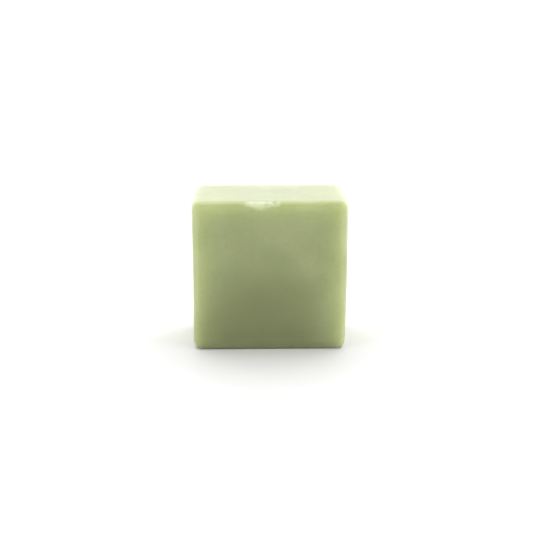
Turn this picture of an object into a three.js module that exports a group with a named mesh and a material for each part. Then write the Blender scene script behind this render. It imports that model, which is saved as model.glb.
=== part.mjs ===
// A square cake of shaving soap, cast in one piece and stood on one of its narrow sides.
//
// Millimetres. +X runs across the cake, +Y from its front face to its back face, +Z up.
// The origin is the middle of the underside, on the surface that the cake stands on.
//
// The cake was poured into a square cavity. Its back face was the floor of the cavity, so the edges
// around it are broad and round. Its front face was the open top of the pour, so the edges around it
// are tight. The four sides between them are flat and square to both faces, and the corners where
// they meet widen a little from front to back.
import * as THREE from "three";
import { toCreasedNormals } from "three/addons/utils/BufferGeometryUtils.js";

// Driving dimensions
const FACE_SIDE = 55; // the front and back faces are squares of this side
const THICKNESS = 34; // front face to back face
const FRONT_EDGE_RADIUS = 2.2; // rounding around the front face
const BACK_EDGE_RADIUS = 4; // rounding around the back face
const FRONT_CORNER_RADIUS = 2.8; // corners of the square section behind the front rounding
const BACK_CORNER_RADIUS = 4.5; // the same corners where the back rounding starts

// How finely the roundings are divided
const EDGE_STEPS = 8; // rings in each edge rounding
const CORNER_DIVISIONS = 4; // a quarter arc gets twice this many chords
const CREASE_ANGLE = 0.5; // radians: flatter joins between facets are shaded smooth

const QUARTER_TURN = Math.PI / 2;

// The square section at one depth behind the front face, drawn in by inset on every side, as points
// that run anticlockwise when seen from the front. Its middle is on the Y axis.
function sectionRing(depth, inset, cornerRadius) {
  const flat = FACE_SIDE / 2 - inset - cornerRadius;
  const outline = new THREE.Shape();
  outline.absarc(flat, flat, cornerRadius, 0, QUARTER_TURN);
  outline.absarc(-flat, flat, cornerRadius, QUARTER_TURN, 2 * QUARTER_TURN);
  outline.absarc(-flat, -flat, cornerRadius, 2 * QUARTER_TURN, 3 * QUARTER_TURN);
  outline.absarc(flat, -flat, cornerRadius, 3 * QUARTER_TURN, 4 * QUARTER_TURN);
  return outline
    .getPoints(CORNER_DIVISIONS)
    .map((p) => new THREE.Vector3(p.x, depth, p.y));
}

// The rings of the front rounding, from the front face's rim to the flat sides.
function frontRings() {
  return Array.from({ length: EDGE_STEPS + 1 }, (_, step) => {
    const turn = (step / EDGE_STEPS) * QUARTER_TURN;
    const inset = FRONT_EDGE_RADIUS * (1 - Math.sin(turn));
    const depth = FRONT_EDGE_RADIUS * (1 - Math.cos(turn));
    return sectionRing(depth, inset, FRONT_CORNER_RADIUS - inset);
  });
}

// The rings of the back rounding, from the flat sides to the back face's rim.
function backRings() {
  return Array.from({ length: EDGE_STEPS + 1 }, (_, step) => {
    const turn = (step / EDGE_STEPS) * QUARTER_TURN;
    const inset = BACK_EDGE_RADIUS * (1 - Math.cos(turn));
    const depth = THICKNESS - BACK_EDGE_RADIUS * (1 - Math.sin(turn));
    return sectionRing(depth, inset, BACK_CORNER_RADIUS - inset);
  });
}

// A closed surface through the rings, front to back, with a flat face over each end.
function loftRings(rings) {
  const count = rings[0].length;
  const lastRing = (rings.length - 1) * count;
  const index = [];

  for (let start = 0; start < lastRing; start += count) {
    for (let i = 0; i < count; i++) {
      const near = start + i;
      const nearNext = start + ((i + 1) % count);
      const far = near + count;
      const farNext = nearNext + count;
      index.push(near, far, farNext, near, farNext, nearNext);
    }
  }
  for (const [a, b, c] of flatFace(rings[0])) index.push(a, b, c);
  for (const [a, b, c] of flatFace(rings.at(-1))) index.push(lastRing + c, lastRing + b, lastRing + a);

  const surface = new THREE.BufferGeometry().setFromPoints(rings.flat()).setIndex(index);
  return toCreasedNormals(surface, CREASE_ANGLE);
}

// The triangles that fill a ring, as places in the ring, anticlockwise when seen from the front.
function flatFace(ring) {
  const outline = ring.map((p) => new THREE.Vector2(p.x, p.z));
  return THREE.ShapeUtils.triangulateShape(outline, []);
}

// The cake itself: one casting, with nothing inside it.
function makeSoapBlock() {
  const material = new THREE.MeshStandardMaterial({
    color: 0xc6cf9f, // pale sage green
    roughness: 0.45,
    metalness: 0,
  });
  const mesh = new THREE.Mesh(loftRings([...frontRings(), ...backRings()]), material);
  mesh.name = "soap_block";
  mesh.position.set(0, -THICKNESS / 2, FACE_SIDE / 2);
  return mesh;
}

const group = new THREE.Group();
group.add(makeSoapBlock());

export default group;
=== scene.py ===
"""A square cake of sage-green shaving soap on a white studio floor.

The mesh of the cake starts as a plain box grid and is rounded like the CAD block. It then gets the
unevenness of a cake cut by hand, and one bruised spot with a nick on its top front edge.
"""

import math

import bpy
import numpy as np
from mathutils import Matrix, Vector, noise


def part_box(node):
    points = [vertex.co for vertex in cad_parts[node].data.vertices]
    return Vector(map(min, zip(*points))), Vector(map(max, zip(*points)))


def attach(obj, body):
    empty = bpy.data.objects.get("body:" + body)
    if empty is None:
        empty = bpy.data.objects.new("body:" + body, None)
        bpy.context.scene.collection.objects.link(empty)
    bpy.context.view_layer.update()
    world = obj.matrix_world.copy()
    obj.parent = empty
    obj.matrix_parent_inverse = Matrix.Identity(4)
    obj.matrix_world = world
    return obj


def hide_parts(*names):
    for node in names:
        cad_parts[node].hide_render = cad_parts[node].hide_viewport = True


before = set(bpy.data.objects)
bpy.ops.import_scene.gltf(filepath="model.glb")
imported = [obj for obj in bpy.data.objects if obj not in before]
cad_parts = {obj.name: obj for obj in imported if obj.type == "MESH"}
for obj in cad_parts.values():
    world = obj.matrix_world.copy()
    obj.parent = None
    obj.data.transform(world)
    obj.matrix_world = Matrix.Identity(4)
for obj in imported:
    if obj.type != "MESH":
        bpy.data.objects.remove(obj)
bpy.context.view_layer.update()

MM = 0.001
NODE = "soap_block"
BLOCK_LOW, BLOCK_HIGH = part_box(NODE)
BLOCK_CENTRE = (BLOCK_LOW + BLOCK_HIGH) / 2
FACE_SIDE = BLOCK_HIGH.x - BLOCK_LOW.x
HALF_SIDE = FACE_SIDE / 2
THICKNESS = BLOCK_HIGH.y - BLOCK_LOW.y

# Roundings of the cake, as on the CAD block
FRONT_EDGE_RADIUS = 2.2 * MM
BACK_EDGE_RADIUS = 4.0 * MM
FRONT_CORNER_RADIUS = 2.8 * MM
BACK_CORNER_RADIUS = 4.5 * MM

# The front edge it stands on is sharper than on the CAD block, except near its two ends.
BOTTOM_EDGE_RADIUS = 0.7 * MM
BOTTOM_EDGE_END = 0.1  # length of each end, as a share of half the side


# ---------------------------------------------------------------- camera

CAMERA_ELEVATION = math.radians(14.6)
CAMERA_SWING = math.radians(-0.8)  # to the left of straight on
CAMERA_ROLL = math.radians(-0.12)
CAMERA_DISTANCE = 9.48 * FACE_SIDE
CAMERA_LENS_MM = 95.7
CAMERA_SENSOR_MM = 36
AIM_RIGHT = -0.018 * FACE_SIDE  # the aim point, off the middle of the cake
AIM_UP = -0.0193 * FACE_SIDE


def add_camera():
    forward = Vector(
        (
            -math.sin(CAMERA_SWING) * math.cos(CAMERA_ELEVATION),
            math.cos(CAMERA_SWING) * math.cos(CAMERA_ELEVATION),
            -math.sin(CAMERA_ELEVATION),
        )
    )
    level_right = forward.cross(Vector((0, 0, 1))).normalized()
    level_up = level_right.cross(forward)
    aim = BLOCK_CENTRE + level_right * AIM_RIGHT + level_up * AIM_UP
    turn = Matrix((level_right, level_up, -forward)).transposed()
    turn = turn @ Matrix.Rotation(CAMERA_ROLL, 3, "Z")

    camera = bpy.data.objects.new("camera", bpy.data.cameras.new("camera"))
    camera.matrix_world = Matrix.Translation(aim - forward * CAMERA_DISTANCE) @ turn.to_4x4()
    camera.data.lens = CAMERA_LENS_MM
    camera.data.sensor_width = CAMERA_SENSOR_MM
    bpy.context.scene.collection.objects.link(camera)
    bpy.context.scene.camera = camera


# ---------------------------------------------------------------- plain rounded block

# Grid zones as (length, cells). Cells are small at the edges and around the bruise.
ZONES_ACROSS = ((5 * MM, 22), (12.5 * MM, 22), (15.5 * MM, 62), (17 * MM, 30), (5 * MM, 22))
ZONES_ALONG = ((4 * MM, 20), (24 * MM, 36), (6 * MM, 20))
ZONES_UP = ((5 * MM, 22), (43 * MM, 74), (7 * MM, 34))
TINY = 1e-12  # keeps divisions off zero


def smooth_step(low, high, value):
    share = np.clip((value - low) / (high - low), 0, 1)
    return share * share * (3 - 2 * share)


def grid_lines(zones):
    lines = [0.0]
    for length, cells in zones:
        start = lines[-1]
        lines.extend(start + length * (n + 1) / cells for n in range(cells))
    return np.array(lines)


def box_surface(xs, ys, zs):
    """The six faces of a box as one quad mesh, with grid lines at the given places."""
    lines = (xs, ys, zs)
    number = {}
    quads = []

    for axis in range(3):
        a, b = (axis + 1) % 3, (axis + 2) % 3
        for end in (0, len(lines[axis]) - 1):
            for i in range(len(lines[a]) - 1):
                for j in range(len(lines[b]) - 1):
                    corners = []
                    for step_a, step_b in ((0, 0), (1, 0), (1, 1), (0, 1)):
                        at = [0, 0, 0]
                        at[axis], at[a], at[b] = end, i + step_a, j + step_b
                        corners.append(number.setdefault(tuple(at), len(number)))
                    quads.append(corners if end else corners[::-1])
    points = np.array([(xs[i], ys[j], zs[k]) for i, j, k in number])
    return points, quads


def roll_edge(inset, depth, radius):
    """Moves points near a square edge onto a quarter round. Both inputs are distances inwards."""
    away_side = np.maximum(radius - inset, 0)
    away_face = np.maximum(radius - depth, 0)
    on_round = (away_side > 0) & (away_face > 0)
    scale = radius / np.maximum(np.hypot(away_side, away_face), TINY)
    return (
        np.where(on_round, radius - away_side * scale, inset),
        np.where(on_round, radius - away_face * scale, depth),
    )


def round_corners(x, z, ring, inset, depth):
    """Rounds the four corners of the section, which widen from the front to the back."""
    side_depth = THICKNESS - FRONT_EDGE_RADIUS - BACK_EDGE_RADIUS
    share = np.clip((depth - FRONT_EDGE_RADIUS) / side_depth, 0, 1)
    corner = FRONT_CORNER_RADIUS + (BACK_CORNER_RADIUS - FRONT_CORNER_RADIUS) * share
    core = ring - np.maximum(corner - inset, 0)
    over_x = np.maximum(np.abs(x) - core, 0)
    over_z = np.maximum(np.abs(z) - core, 0)
    scale = np.maximum(over_x, over_z) / np.maximum(np.hypot(over_x, over_z), TINY)
    x = np.sign(x) * (np.minimum(np.abs(x), core) + over_x * scale)
    z = np.sign(z) * (np.minimum(np.abs(z), core) + over_z * scale)
    return x, z


def round_block(points):
    """Rounds a box grid. x and z run from minus to plus half the side, y from 0 to the thickness."""
    x, y, z = points.T
    ring = np.maximum(np.maximum(np.abs(x), np.abs(z)), TINY)
    at_bottom = np.where(z < 0, smooth_step(0, BOTTOM_EDGE_END, 1 - np.abs(x) / ring), 0)
    front_radius = FRONT_EDGE_RADIUS + (BOTTOM_EDGE_RADIUS - FRONT_EDGE_RADIUS) * at_bottom
    inset, depth = roll_edge(HALF_SIDE - ring, y, front_radius)
    inset, back = roll_edge(inset, THICKNESS - depth, BACK_EDGE_RADIUS)
    depth = THICKNESS - back

    # Each point keeps its place around its ring while the ring draws in.
    new_ring = HALF_SIDE - inset
    x, z = round_corners(x * new_ring / ring, z * new_ring / ring, new_ring, inset, depth)
    return np.stack([x, depth, z], axis=1)


# ---------------------------------------------------------------- hand-cut unevenness

# How far each side stands out, in mm, at shares of the height from the floor to the top
LEFT_SIDE_BOW = ((0, 0.05), (0.12, 0.13), (0.5, -0.1), (0.85, -0.1), (1, -0.05))
RIGHT_SIDE_BOW = ((0, -0.6), (0.12, -0.22), (0.5, 0.08), (0.85, -0.1), (1, -0.15))
SIDE_STARTS = 0.55 * HALF_SIDE  # the bow fades in from here to the side itself
LEFT_SHOULDER = 0.65  # in mm, how far each side stands out more at the top, behind the front edge
RIGHT_SHOULDER = 1.0
SHOULDER_HEIGHTS = (0.3, 1)  # shares of the height over which a shoulder grows
SHOULDER_BEHIND = 8 * MM  # it is full this far behind the front face

WAVES_MM = ((22, 0.11), (8, 0.045), (2.6, 0.012))  # size of the waves and how high they stand
SETTLING = 0.988  # the soft new cake has settled, so it is a little lower than it is wide
FLAT_FOOT = 1.2 * MM  # the underside stays flat, and the waves fade in over this height


def side_bow(points):
    x, y, z = points.T
    height = z / FACE_SIDE
    shoulder = smooth_step(*SHOULDER_HEIGHTS, height)
    shoulder *= smooth_step(0, SHOULDER_BEHIND, y - BLOCK_LOW.y)
    left = np.interp(height, *zip(*LEFT_SIDE_BOW)) + LEFT_SHOULDER * shoulder
    right = np.interp(height, *zip(*RIGHT_SIDE_BOW)) + RIGHT_SHOULDER * shoulder
    near_side = smooth_step(SIDE_STARTS, HALF_SIDE, np.abs(x))
    return MM * near_side * np.where(x < 0, -left, right)


def waves(points):
    height = np.zeros(len(points))
    for size, amount in WAVES_MM:
        seen = points / (size * MM) + size
        height += amount * MM * np.array([noise.noise(Vector(p)) for p in seen])
    return height


# ---------------------------------------------------------------- bruise on the top front edge

# All in mm. Along the edge 0 is the middle of the cake. Across it 0 is the edge, plus runs down the
# front face and minus runs back over the top. A pair is where a fade starts and ends.
SMEAR_LEFT_END = (-10.1, -6.5)
SMEAR_RIGHT_END = (3.2, 4.3)
SMEAR_TOP_END = (-2.4, -0.9)
SMEAR_REACH = 4.2  # down the front face, at its deepest place
SMEAR_LEAST_REACH = 0.45  # share of the reach far from the deepest place
SMEAR_DEEPEST_AT = -3.2
SMEAR_DEEPEST_WIDTH = 3.2
SMEAR_SOLID = 0.35  # share of the reach where the fade down the face starts
SMEAR_PUSH = 0.36
SMEAR_LUMPS = 0.09

NICK_AT = 1.8
NICK_HALF_WIDTHS = ((-2.1, 0), (-0.9, 1.75), (2.2, 0))  # half width at places across the edge
NICK_THINNEST = 0.05
NICK_REACH = 2.2
NICK_PUSH = 0.45

RIM_HEIGHT = 0.2  # the soap pushed up along both sides of the nick
RIM_WIDTH = 0.35
RIM_FADE = 0.6  # the rim is lower where the nick's half width is less than this
RIM_PALENESS = 0.8
BURR_HEIGHT = 0.13  # the soap pushed up along the edge
BURR_WIDTH = 0.5
BURR_LEFT_END = (-5.6, -4.6)
BURR_RIGHT_END = (3.9, 4.6)

WANDER_SCALE = (0.38, 0.5)  # per mm, along and across the edge
WANDER_SLICE = 3
SMEAR_WANDER = 0.5
NICK_WANDER = 0.25

BRUISE_ZONE_ALONG = (-12, 7)  # points outside this zone are left as they are
BRUISE_ZONE_ACROSS = 6
BRUISE_ZONE_DEPTH = 7


def bell(distance, width):
    return np.exp(-((distance / width) ** 2))


def band(value, left_end, right_end):
    return smooth_step(*left_end, value) * (1 - smooth_step(*right_end, value))


def edge_places(points):
    """Where each point lies on the top front edge: along it, across it, and how far from it."""
    along = points[:, 0] / MM
    down = (BLOCK_HIGH.z - points[:, 2]) / MM
    back = (points[:, 1] - BLOCK_LOW.y) / MM
    return along, down - back, np.maximum(down, back)


def smear_weight(along, across, wander):
    """The smeared patch, from 0 to 1."""
    deepest = bell(along - SMEAR_DEEPEST_AT, SMEAR_DEEPEST_WIDTH)
    reach = SMEAR_REACH * (SMEAR_LEAST_REACH + (1 - SMEAR_LEAST_REACH) * deepest)
    reach += SMEAR_WANDER * wander
    smear = band(along, SMEAR_LEFT_END, SMEAR_RIGHT_END)
    smear *= 1 - smooth_step(SMEAR_SOLID * reach, reach, across)
    return smear * smooth_step(*SMEAR_TOP_END, across)


def nick_weights(along, across, wander):
    """The V-shaped nick and the rim along its two sides, both from 0 to 1."""
    half_width = np.interp(across, *zip(*NICK_HALF_WIDTHS))
    off_middle = np.abs(along - NICK_AT + NICK_WANDER * wander)
    nick = np.clip(1 - off_middle / np.maximum(half_width, NICK_THINNEST), 0, 1)
    nick *= half_width > NICK_THINNEST
    rim = bell(off_middle - half_width, RIM_WIDTH) * np.clip(half_width / RIM_FADE, 0, 1)
    return nick, rim


def bruise_shape(points):
    """The smeared patch and the nick as two weights from 0 to 1, and the raised soap in mm."""
    along, across, _ = edge_places(points)
    places = zip(along * WANDER_SCALE[0], across * WANDER_SCALE[1])
    wander = np.array([noise.noise(Vector((a, c, WANDER_SLICE))) for a, c in places])
    smear = smear_weight(along, across, wander)
    nick, rim = nick_weights(along, across, wander)
    burr = bell(across, BURR_WIDTH) * band(along, BURR_LEFT_END, BURR_RIGHT_END) * (1 - nick)

    raised = RIM_HEIGHT * rim * band(along, SMEAR_LEFT_END, SMEAR_RIGHT_END)
    raised += BURR_HEIGHT * burr + SMEAR_LUMPS * smear * wander
    smear = np.maximum(smear, RIM_PALENESS * rim * (np.abs(across) < NICK_REACH))
    return smear, nick, raised


def near_bruise(points):
    along, across, deep = edge_places(points)
    near = (along > BRUISE_ZONE_ALONG[0]) & (along < BRUISE_ZONE_ALONG[1])
    return near & (np.abs(across) < BRUISE_ZONE_ACROSS) & (deep < BRUISE_ZONE_DEPTH)


def bruise_edge(points):
    """Pushes the bruised patch in. Returns the points, and the two weights for the material."""
    smear = np.zeros(len(points))
    nick = np.zeros(len(points))
    near = near_bruise(points)
    smear[near], nick[near], raised = bruise_shape(points[near])
    push = SMEAR_PUSH * smear[near] + NICK_PUSH * nick[near] - raised
    inwards = np.array((0, 1, -1)) / math.sqrt(2)
    points[near] += push[:, None] * MM * inwards
    return points, smear, nick


# ---------------------------------------------------------------- the cake


def vertex_values(mesh, name):
    values = np.empty(len(mesh.vertices) * 3, dtype=np.float32)
    mesh.vertices.foreach_get(name, values)
    return values.reshape(-1, 3).astype(float)


def add_weights(mesh, name, weights):
    layer = mesh.attributes.new(name, "FLOAT", "POINT")
    layer.data.foreach_set("value", weights.astype(np.float32))


def make_cake():
    zones = (ZONES_ACROSS, ZONES_ALONG, ZONES_UP)
    points, quads = box_surface(*map(grid_lines, zones))
    points = round_block(points - np.array((HALF_SIDE, 0, HALF_SIDE)))
    points += np.array((BLOCK_CENTRE.x, BLOCK_LOW.y, BLOCK_CENTRE.z))
    mesh = bpy.data.meshes.new("soap_cake")
    mesh.from_pydata(points.tolist(), [], quads)

    normals = vertex_values(mesh, "normal")
    above_foot = smooth_step(0, FLAT_FOOT, points[:, 2] - BLOCK_LOW.z)
    points += normals * (waves(points) * above_foot)[:, None]
    points[:, 0] += side_bow(points) * above_foot
    points, smear, nick = bruise_edge(points)
    points[:, 2] = BLOCK_LOW.z + SETTLING * np.maximum(points[:, 2] - BLOCK_LOW.z, 0)

    mesh.vertices.foreach_set("co", points.astype(np.float32).ravel())
    add_weights(mesh, "smear", smear)
    add_weights(mesh, "nick", nick)
    mesh.shade_smooth()
    mesh.update()
    cake = bpy.data.objects.new("soap_cake", mesh)
    bpy.context.scene.collection.objects.link(cake)
    return cake


# ---------------------------------------------------------------- materials

SOAP_PALE = (0.432, 0.48, 0.237, 1)
SOAP_DEEP = (0.39, 0.437, 0.205, 1)
# painted shade: the colour of the darker arch on the lower front
SOAP_ARCH_SHADE = (0.28, 0.312, 0.13, 1)
SOAP_SMEARED = (0.60, 0.65, 0.43, 1)
# painted shade: the greener tint inside the nick stands for the shade in its recess
SOAP_NICK_SHADE = (0.40, 0.49, 0.24, 1)

# Painted shade: a darker arch on the front, standing on the floor. Its outline is an ellipse.
ARCH_MIDDLE = -2 * MM
ARCH_HALF_WIDTH = 25 * MM
ARCH_HEIGHT = 36 * MM
ARCH_FADE = (0.1, 1.3)  # squared distance from its middle, 1 on the ellipse
ARCH_WANDER = 1.5 * MM
ARCH_DEPTH = (0.5 * MM, 3 * MM)  # it fades out over this distance behind the front face
ARCH_FOOT = 6 * MM  # below this height it is weaker
ARCH_AT_FOOT = 0.5  # its strength on the floor

# Sizes of the noise patterns, in lumps per metre
ARCH_OUTLINE = 70.0
CLOUDS = 75.0
SPECKS = 900.0
RUB_MARKS = 450.0
GLOSS_PATCHES = 160.0
GRAIN = 1400.0
PITS = 420.0
DRAG_MARKS = (60.0, 60.0, 700.0)  # long in x and y, thin in z: the cutting blade moved sideways

# Ranges of noise values that are stretched out to a full fade
NOISE_SPREAD = (0.3, 0.7)
TONE_SPREAD = (0.36, 0.64)
RUB_SPREAD = (0.25, 0.6)
PIT_SPREAD = (0.24, 0.32)  # only the rare lowest values, so the pits are few

CLOUD_SHARE = 0.65
SPECK_SHARE = 0.35
RUB_LEAST = 0.5  # the smear is nowhere weaker than this
NICK_FADE = (0.1, 0.8)
NICK_STRENGTH = 0.7

GLOSS_ROUGHNESS = (0.28, 0.38)
SMEAR_ROUGHNESS = 0.12  # added where the soap is smeared

GRAIN_SHARE = 0.25
DRAG_SHARE = 0.35
PIT_SHARE = 0.6
BUMP_STRENGTH = 0.5
BUMP_HEIGHT = 0.25 * MM


class Nodes:
    """Short calls for adding and wiring the nodes of one material or world."""

    def __init__(self, tree):
        self.tree = tree

    def add(self, kind, **settings):
        node = self.tree.nodes.new(kind)
        for name, value in settings.items():
            setattr(node, name, value)
        return node

    def feed(self, socket, value):
        if isinstance(value, bpy.types.NodeSocket):
            self.tree.links.new(value, socket)
        else:
            socket.default_value = value

    def math(self, operation, a, b):
        node = self.add("ShaderNodeMath", operation=operation)
        self.feed(node.inputs[0], a)
        self.feed(node.inputs[1], b)
        return node.outputs[0]

    def square(self, value):
        return self.math("MULTIPLY", value, value)

    def blend(self, *parts):
        """The sum of parts that are each given as (value, share)."""
        total, *others = [self.math("MULTIPLY", value, share) for value, share in parts]
        for part in others:
            total = self.math("ADD", total, part)
        return total

    def split(self, vector):
        node = self.add("ShaderNodeSeparateXYZ")
        self.feed(node.inputs[0], vector)
        return node.outputs

    def noise(self, where, scale, detail=3.0, roughness=0.5):
        node = self.add("ShaderNodeTexNoise")
        self.feed(node.inputs["Vector"], where)
        self.feed(node.inputs["Scale"], scale)
        self.feed(node.inputs["Detail"], detail)
        self.feed(node.inputs["Roughness"], roughness)
        return node.outputs[0]

    def fit(self, value, low, high, to_low=0.0, to_high=1.0, smooth=True):
        node = self.add("ShaderNodeMapRange", clamp=True)
        node.interpolation_type = "SMOOTHSTEP" if smooth else "LINEAR"
        for socket, given in zip(node.inputs, (value, low, high, to_low, to_high)):
            self.feed(socket, given)
        return node.outputs[0]

    def mix(self, share, a, b):
        """Two colours mixed. Inputs 6 and 7 and output 2 are the colour sockets of a Mix node."""
        node = self.add("ShaderNodeMix", data_type="RGBA")
        self.feed(node.inputs["Factor"], share)
        self.feed(node.inputs[6], a)
        self.feed(node.inputs[7], b)
        return node.outputs[2]

    def weight(self, name):
        return self.add("ShaderNodeAttribute", attribute_name=name).outputs["Fac"]

    def stretched(self, where, scale):
        node = self.add("ShaderNodeMapping")
        self.feed(node.inputs["Vector"], where)
        node.inputs["Scale"].default_value = scale
        return node.outputs[0]


def shade_arch_share(nodes, where):
    """A soft arch of painted shade in the lower middle of the front, where the cake is a little
    darker.
    """
    x, y, z = nodes.split(where)
    outline = nodes.noise(where, ARCH_OUTLINE, 2.0)
    wander = nodes.fit(outline, *NOISE_SPREAD, -ARCH_WANDER, ARCH_WANDER, smooth=False)
    off_middle = nodes.math("ADD", nodes.math("SUBTRACT", x, ARCH_MIDDLE), wander)
    sideways = nodes.math("DIVIDE", off_middle, ARCH_HALF_WIDTH)
    upwards = nodes.math("DIVIDE", nodes.math("ADD", z, wander), ARCH_HEIGHT)
    reach = nodes.math("ADD", nodes.square(sideways), nodes.square(upwards))

    inside = nodes.fit(reach, *ARCH_FADE, 1.0, 0.0)
    front = nodes.fit(y, *(BLOCK_LOW.y + depth for depth in ARCH_DEPTH), 1.0, 0.0)
    above_foot = nodes.fit(z, 0.0, ARCH_FOOT, ARCH_AT_FOOT, 1.0)
    return nodes.math("MULTIPLY", nodes.math("MULTIPLY", inside, front), above_foot)


def soap_colour(nodes, where, smear, nick):
    """Faint clouds and specks, the darker arch of painted shade, the pale smear and the greener
    painted shade inside the nick.
    """
    clouds = nodes.noise(where, CLOUDS)
    specks = nodes.noise(where, SPECKS, roughness=0.6)
    tone = nodes.fit(nodes.blend((clouds, CLOUD_SHARE), (specks, SPECK_SHARE)), *TONE_SPREAD)
    colour = nodes.mix(tone, SOAP_DEEP, SOAP_PALE)
    # painted shade: the arch darkens the lower middle of the front
    colour = nodes.mix(shade_arch_share(nodes, where), colour, SOAP_ARCH_SHADE)
    rub_marks = nodes.fit(nodes.noise(where, RUB_MARKS), *RUB_SPREAD, RUB_LEAST, 1.0)
    colour = nodes.mix(nodes.math("MULTIPLY", smear, rub_marks), colour, SOAP_SMEARED)
    # painted shade: the inside of the nick is tinted greener
    return nodes.mix(nodes.fit(nick, *NICK_FADE, 0.0, NICK_STRENGTH), colour, SOAP_NICK_SHADE)


def soap_roughness(nodes, where, smear):
    patches = nodes.noise(where, GLOSS_PATCHES, 4.0, 0.6)
    patches = nodes.fit(patches, *NOISE_SPREAD, *GLOSS_ROUGHNESS, smooth=False)
    return nodes.math("ADD", patches, nodes.math("MULTIPLY", smear, SMEAR_ROUGHNESS))


def soap_bump(nodes, where):
    """Fine grain, faint drag marks of the cutting blade, and a few tiny pits."""
    grain = nodes.noise(where, GRAIN, 4.0, 0.6)
    drag = nodes.noise(nodes.stretched(where, DRAG_MARKS), 1.0)
    pits = nodes.fit(nodes.noise(where, PITS, 1.0, 0.4), *PIT_SPREAD)
    height = nodes.blend((grain, GRAIN_SHARE), (drag, DRAG_SHARE), (pits, PIT_SHARE))
    bump = nodes.add("ShaderNodeBump")
    bump.inputs["Strength"].default_value = BUMP_STRENGTH
    bump.inputs["Distance"].default_value = BUMP_HEIGHT
    nodes.feed(bump.inputs["Height"], height)
    return bump.outputs[0]


def soap_material():
    material = bpy.data.materials.new("sage_soap")
    material.use_nodes = True
    shader = material.node_tree.nodes["Principled BSDF"]
    nodes = Nodes(material.node_tree)
    where = nodes.add("ShaderNodeTexCoord").outputs["Object"]
    smear = nodes.weight("smear")
    nodes.feed(shader.inputs["Base Color"], soap_colour(nodes, where, smear, nodes.weight("nick")))
    nodes.feed(shader.inputs["Roughness"], soap_roughness(nodes, where, smear))
    nodes.feed(shader.inputs["Normal"], soap_bump(nodes, where))

    shader.inputs["IOR"].default_value = 1.5
    shader.inputs["Sheen Weight"].default_value = 0.45
    shader.inputs["Sheen Roughness"].default_value = 0.3
    shader.inputs["Subsurface Weight"].default_value = 1
    shader.inputs["Subsurface Radius"].default_value = (1.0, 1.0, 0.92)
    shader.inputs["Subsurface Scale"].default_value = 0.02
    return material


# ---------------------------------------------------------------- studio

FLOOR_HALF_SIZE = 6.0
# Painted light: the floor glows, more away from the cake, so that it stays white and no horizon shows.
FLOOR_GLOW = 0.62  # the floor gets whiter away from the cake, so that no horizon shows
FLOOR_GLOW_FADE = (0.08, 0.6)  # distances from the cake where it starts and where it is full

GLOW_BACK = 1.5
GLOW_LEFT = 1.4
GLOW_RIGHT = 1.85
GLOW_EVEN = 0.03
GLOW_HORIZON = 1.0
HORIZON_BAND = (0.03, 0.12)  # height of a direction where the white horizon starts to fade, and ends
BACKDROP = 1.0  # the room itself looks white from every side, also where it gives no light

SOFTBOX_PLACE = (0, 0.2, 0.9)
SOFTBOX_SIZE = 1.2
SOFTBOX_WATTS = 9.5


def floor_material():
    material = bpy.data.materials.new("white_floor")
    material.use_nodes = True
    shader = material.node_tree.nodes["Principled BSDF"]
    shader.inputs["Base Color"].default_value = (0.87, 0.87, 0.87, 1)
    shader.inputs["Roughness"].default_value = 0.6
    shader.inputs["Emission Color"].default_value = (1, 1, 1, 1)
    nodes = Nodes(material.node_tree)
    away = nodes.add("ShaderNodeVectorMath", operation="LENGTH")
    nodes.feed(away.inputs[0], nodes.add("ShaderNodeTexCoord").outputs["Object"])
    # painted light: the floor's glow grows with the distance from the cake
    glow = nodes.fit(away.outputs["Value"], *FLOOR_GLOW_FADE, 0.0, FLOOR_GLOW)
    nodes.feed(shader.inputs["Emission Strength"], glow)
    return material


def add_floor():
    size = FLOOR_HALF_SIZE
    corners = [(-size, -size, 0), (size, -size, 0), (size, size, 0), (-size, size, 0)]
    mesh = bpy.data.meshes.new("floor")
    mesh.from_pydata(corners, [], [(0, 1, 2, 3)])
    mesh.materials.append(floor_material())
    floor = bpy.data.objects.new("floor", mesh)
    bpy.context.scene.collection.objects.link(floor)


def add_top_softbox():
    light = bpy.data.lights.new("top_softbox", "AREA")
    light.shape = "SQUARE"
    light.size = SOFTBOX_SIZE
    light.energy = SOFTBOX_WATTS
    lamp = bpy.data.objects.new("top_softbox", light)
    lamp.location = SOFTBOX_PLACE
    towards_cake = BLOCK_CENTRE - Vector(SOFTBOX_PLACE)
    lamp.rotation_euler = towards_cake.to_track_quat("-Z", "Y").to_euler()
    bpy.context.scene.collection.objects.link(lamp)


def add_world():
    """White walls behind and at both sides, a white horizon, and a dark room high in front."""
    world = bpy.data.worlds.new("studio")
    world.use_nodes = True
    nodes = Nodes(world.node_tree)
    x, y, z = nodes.split(nodes.add("ShaderNodeTexCoord").outputs["Generated"])
    glow = nodes.fit(z, *HORIZON_BAND, GLOW_HORIZON, GLOW_EVEN)
    for direction, sign, strength in ((y, 1.0, GLOW_BACK), (x, -1.0, GLOW_LEFT), (x, 1.0, GLOW_RIGHT)):
        facing = nodes.math("MAXIMUM", nodes.math("MULTIPLY", direction, sign), 0.0)
        lobe = nodes.math("MULTIPLY", nodes.square(facing), strength)
        glow = nodes.math("ADD", lobe, glow)
    seen = nodes.add("ShaderNodeLightPath").outputs["Is Camera Ray"]
    glow = nodes.math("MAXIMUM", glow, nodes.math("MULTIPLY", seen, BACKDROP))
    background = world.node_tree.nodes["Background"]
    nodes.feed(background.inputs["Strength"], glow)
    background.inputs["Color"].default_value = (1, 1, 1, 1)
    bpy.context.scene.world = world


def add_studio():
    add_floor()
    add_world()
    add_top_softbox()
    bpy.context.scene.view_settings.view_transform = "Standard"


add_camera()
cake = make_cake()
cake.data.materials.append(soap_material())
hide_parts(NODE)
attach(cake, "root")
add_studio()
